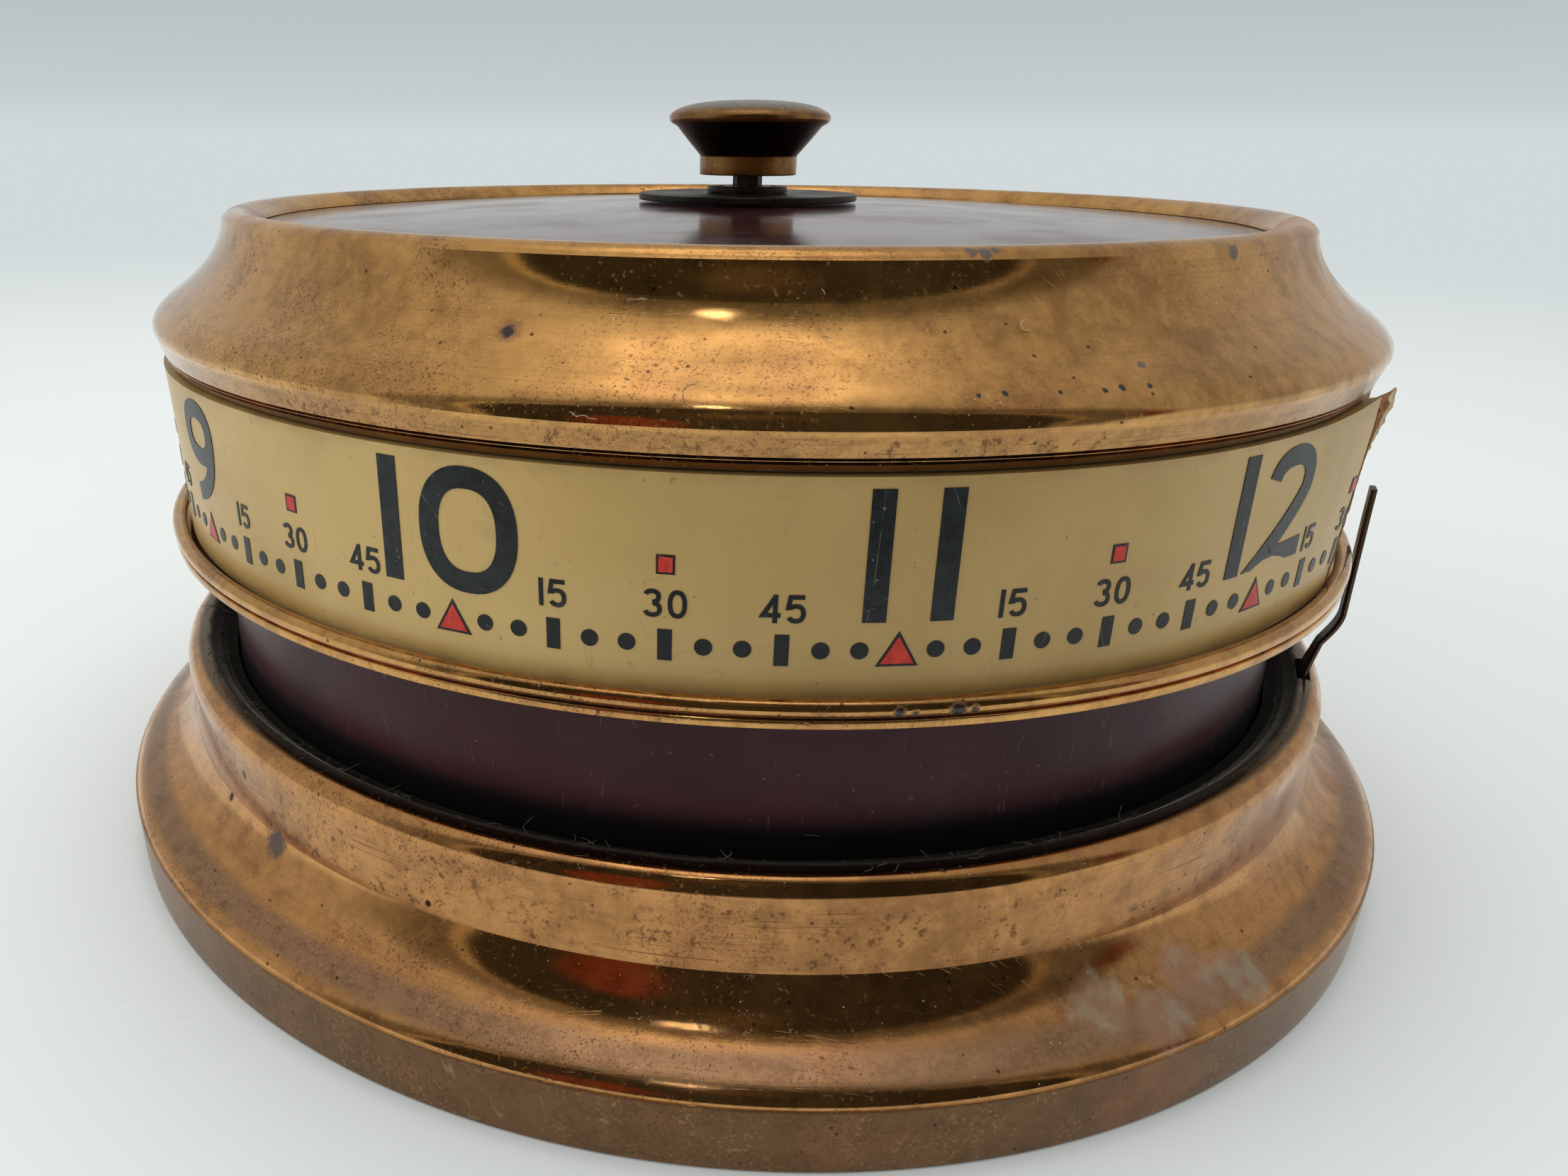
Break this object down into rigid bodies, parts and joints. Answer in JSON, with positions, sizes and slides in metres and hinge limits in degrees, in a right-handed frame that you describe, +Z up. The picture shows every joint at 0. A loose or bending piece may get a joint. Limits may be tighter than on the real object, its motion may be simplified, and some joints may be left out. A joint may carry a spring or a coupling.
{
  "type": "rotary desk clock",
  "caption": "Round desk clock: a copper base with a fixed pointer, and a turning dial drum under a copper rim, dark lid and setting knob.",
  "frame": {"origin": "centre of the foot, on the surface that the clock stands on", "axes": "+Z up along the axis that the dial turns about; -Y faces the viewer"},
  "size_m": [0.1212, 0.1212, 0.0648],
  "materials": {
    "aged_copper": "aged copper, worn and mottled, satin",
    "burgundy_enamel": "gloss enamel",
    "dark_washer": "darkened",
    "pointer_brown": "dark patina",
    "dial_paper": "printed matte strip",
    "dial_film": "clear, yellowed",
    "tinned_steel": "dull tin plate",
    "brass": "satin",
    "steel": "satin"
  },
  "bodies": {
    "base": {"base_shell": "aged_copper", "bottom_cover": "tinned_steel", "lower_plate": "brass", "upper_plate": "brass", "pillar_1": "brass", "pillar_2": "brass", "pillar_3": "brass", "pillar_4": "brass", "pillar_nut_1": "steel", "pillar_nut_2": "steel", "pillar_nut_3": "steel", "pillar_nut_4": "steel", "cover_screw_1": "steel", "cover_screw_2": "steel", "cover_screw_3": "steel", "cover_screw_4": "steel", "fixed_drum": "burgundy_enamel", "drum_screw_1": "steel", "drum_screw_2": "steel", "drum_screw_3": "steel", "pointer": "pointer_brown", "pointer_screw": "steel", "balance_screw_low": "steel", "balance_screw_high": "steel", "hairspring": "steel", "hairspring_stud": "steel", "mainspring": "steel", "spring_post": "steel"},
    "dial_drum": {"rim_shell": "aged_copper", "lid_disc": "burgundy_enamel", "dial_carrier": "tinned_steel", "dial_paper": "dial_paper", "dial_film": "dial_film", "bead_ring": "aged_copper", "dial_hub": "brass", "hour_wheel": "brass", "top_washer": "dark_washer", "top_nut": "steel"},
    "setting_knob": {"knob": "aged_copper", "setting_arbor": "steel", "cannon_pinion": "steel", "clutch_spring": "brass"},
    "minute_wheel": {"minute_wheel": "brass"},
    "fourth_wheel": {"fourth_wheel": "brass"},
    "escape_wheel": {"escape_wheel": "brass"},
    "third_wheel": {"third_wheel": "brass"},
    "centre_wheel": {"centre_wheel": "brass"},
    "great_wheel": {"great_wheel": "brass", "click_spring": "steel"},
    "winding": {"winding_arbor": "steel", "ratchet_wheel": "steel", "winding_key": "brass"},
    "click": {"click": "steel"},
    "pallet_lever": {"pallet_lever": "steel"},
    "balance": {"balance_wheel": "brass"},
    "regulator": {"regulator": "steel"}
  },
  "joints": [
    {"name": "dial_turn", "type": "hinge", "parent": "base", "child": "dial_drum", "pos_m": [0, 0, 0.045], "axis": [0, 0, 1], "continuous": true},
    {"name": "knob_turn", "type": "hinge", "parent": "base", "child": "setting_knob", "pos_m": [0, 0, 0.045], "axis": [0, 0, 1], "continuous": true},
    {"name": "minute_wheel_turn", "type": "hinge", "parent": "base", "child": "minute_wheel", "pos_m": [0, -0.012, 0.033], "axis": [0, 0, 1], "continuous": true},
    {"name": "fourth_wheel_turn", "type": "hinge", "parent": "base", "child": "fourth_wheel", "pos_m": [0.01832, 0.00928, 0.02], "axis": [0, 0, 1], "continuous": true},
    {"name": "escape_wheel_turn", "type": "hinge", "parent": "base", "child": "escape_wheel", "pos_m": [0.01667, 0.01858, 0.02], "axis": [0, 0, 1], "continuous": true},
    {"name": "third_wheel_turn", "type": "hinge", "parent": "base", "child": "third_wheel", "pos_m": [0.01296, 0, 0.02], "axis": [0, 0, 1], "continuous": true},
    {"name": "centre_wheel_turn", "type": "hinge", "parent": "base", "child": "centre_wheel", "pos_m": [0, 0, 0.02], "axis": [0, 0, 1], "continuous": true},
    {"name": "great_wheel_turn", "type": "hinge", "parent": "base", "child": "great_wheel", "pos_m": [-0.0175, 0, 0.012], "axis": [0, 0, 1], "continuous": true},
    {"name": "winding_turn", "type": "hinge", "parent": "great_wheel", "child": "winding", "pos_m": [-0.0175, 0, 0.012], "axis": [0, 0, 1], "continuous": true},
    {"name": "click_lift", "type": "hinge", "parent": "great_wheel", "child": "click", "pos_m": [-0.01889, 0.00788, 0.01], "axis": [0, 0, 1], "range_deg": [-6, 12], "stiffness_Nm_per_rad": 0.0004, "springref_deg": -11.46},
    {"name": "lever_rock", "type": "hinge", "parent": "base", "child": "pallet_lever", "pos_m": [0.01167, 0.02147, 0.02], "axis": [0, 0, 1], "range_deg": [-8, 8]},
    {"name": "balance_swing", "type": "hinge", "parent": "base", "child": "balance", "pos_m": [0.00345, 0.02622, 0.02], "axis": [0, 0, 1], "range_deg": [-220, 220], "stiffness_Nm_per_rad": 0.000003},
    {"name": "regulator_set", "type": "hinge", "parent": "base", "child": "regulator", "pos_m": [0.00345, 0.02622, 0.029], "axis": [0, 0, 1], "range_deg": [-20, 20]}
  ],
  "couplings": [
    {"joint": "knob_turn", "follows": "dial_turn", "ratio": 12},
    {"joint": "minute_wheel_turn", "follows": "dial_turn", "ratio": -4},
    {"joint": "escape_wheel_turn", "follows": "fourth_wheel_turn", "ratio": -8},
    {"joint": "third_wheel_turn", "follows": "fourth_wheel_turn", "ratio": -0.13333},
    {"joint": "centre_wheel_turn", "follows": "fourth_wheel_turn", "ratio": 0.016667},
    {"joint": "great_wheel_turn", "follows": "fourth_wheel_turn", "ratio": -0.0027778}
  ]
}
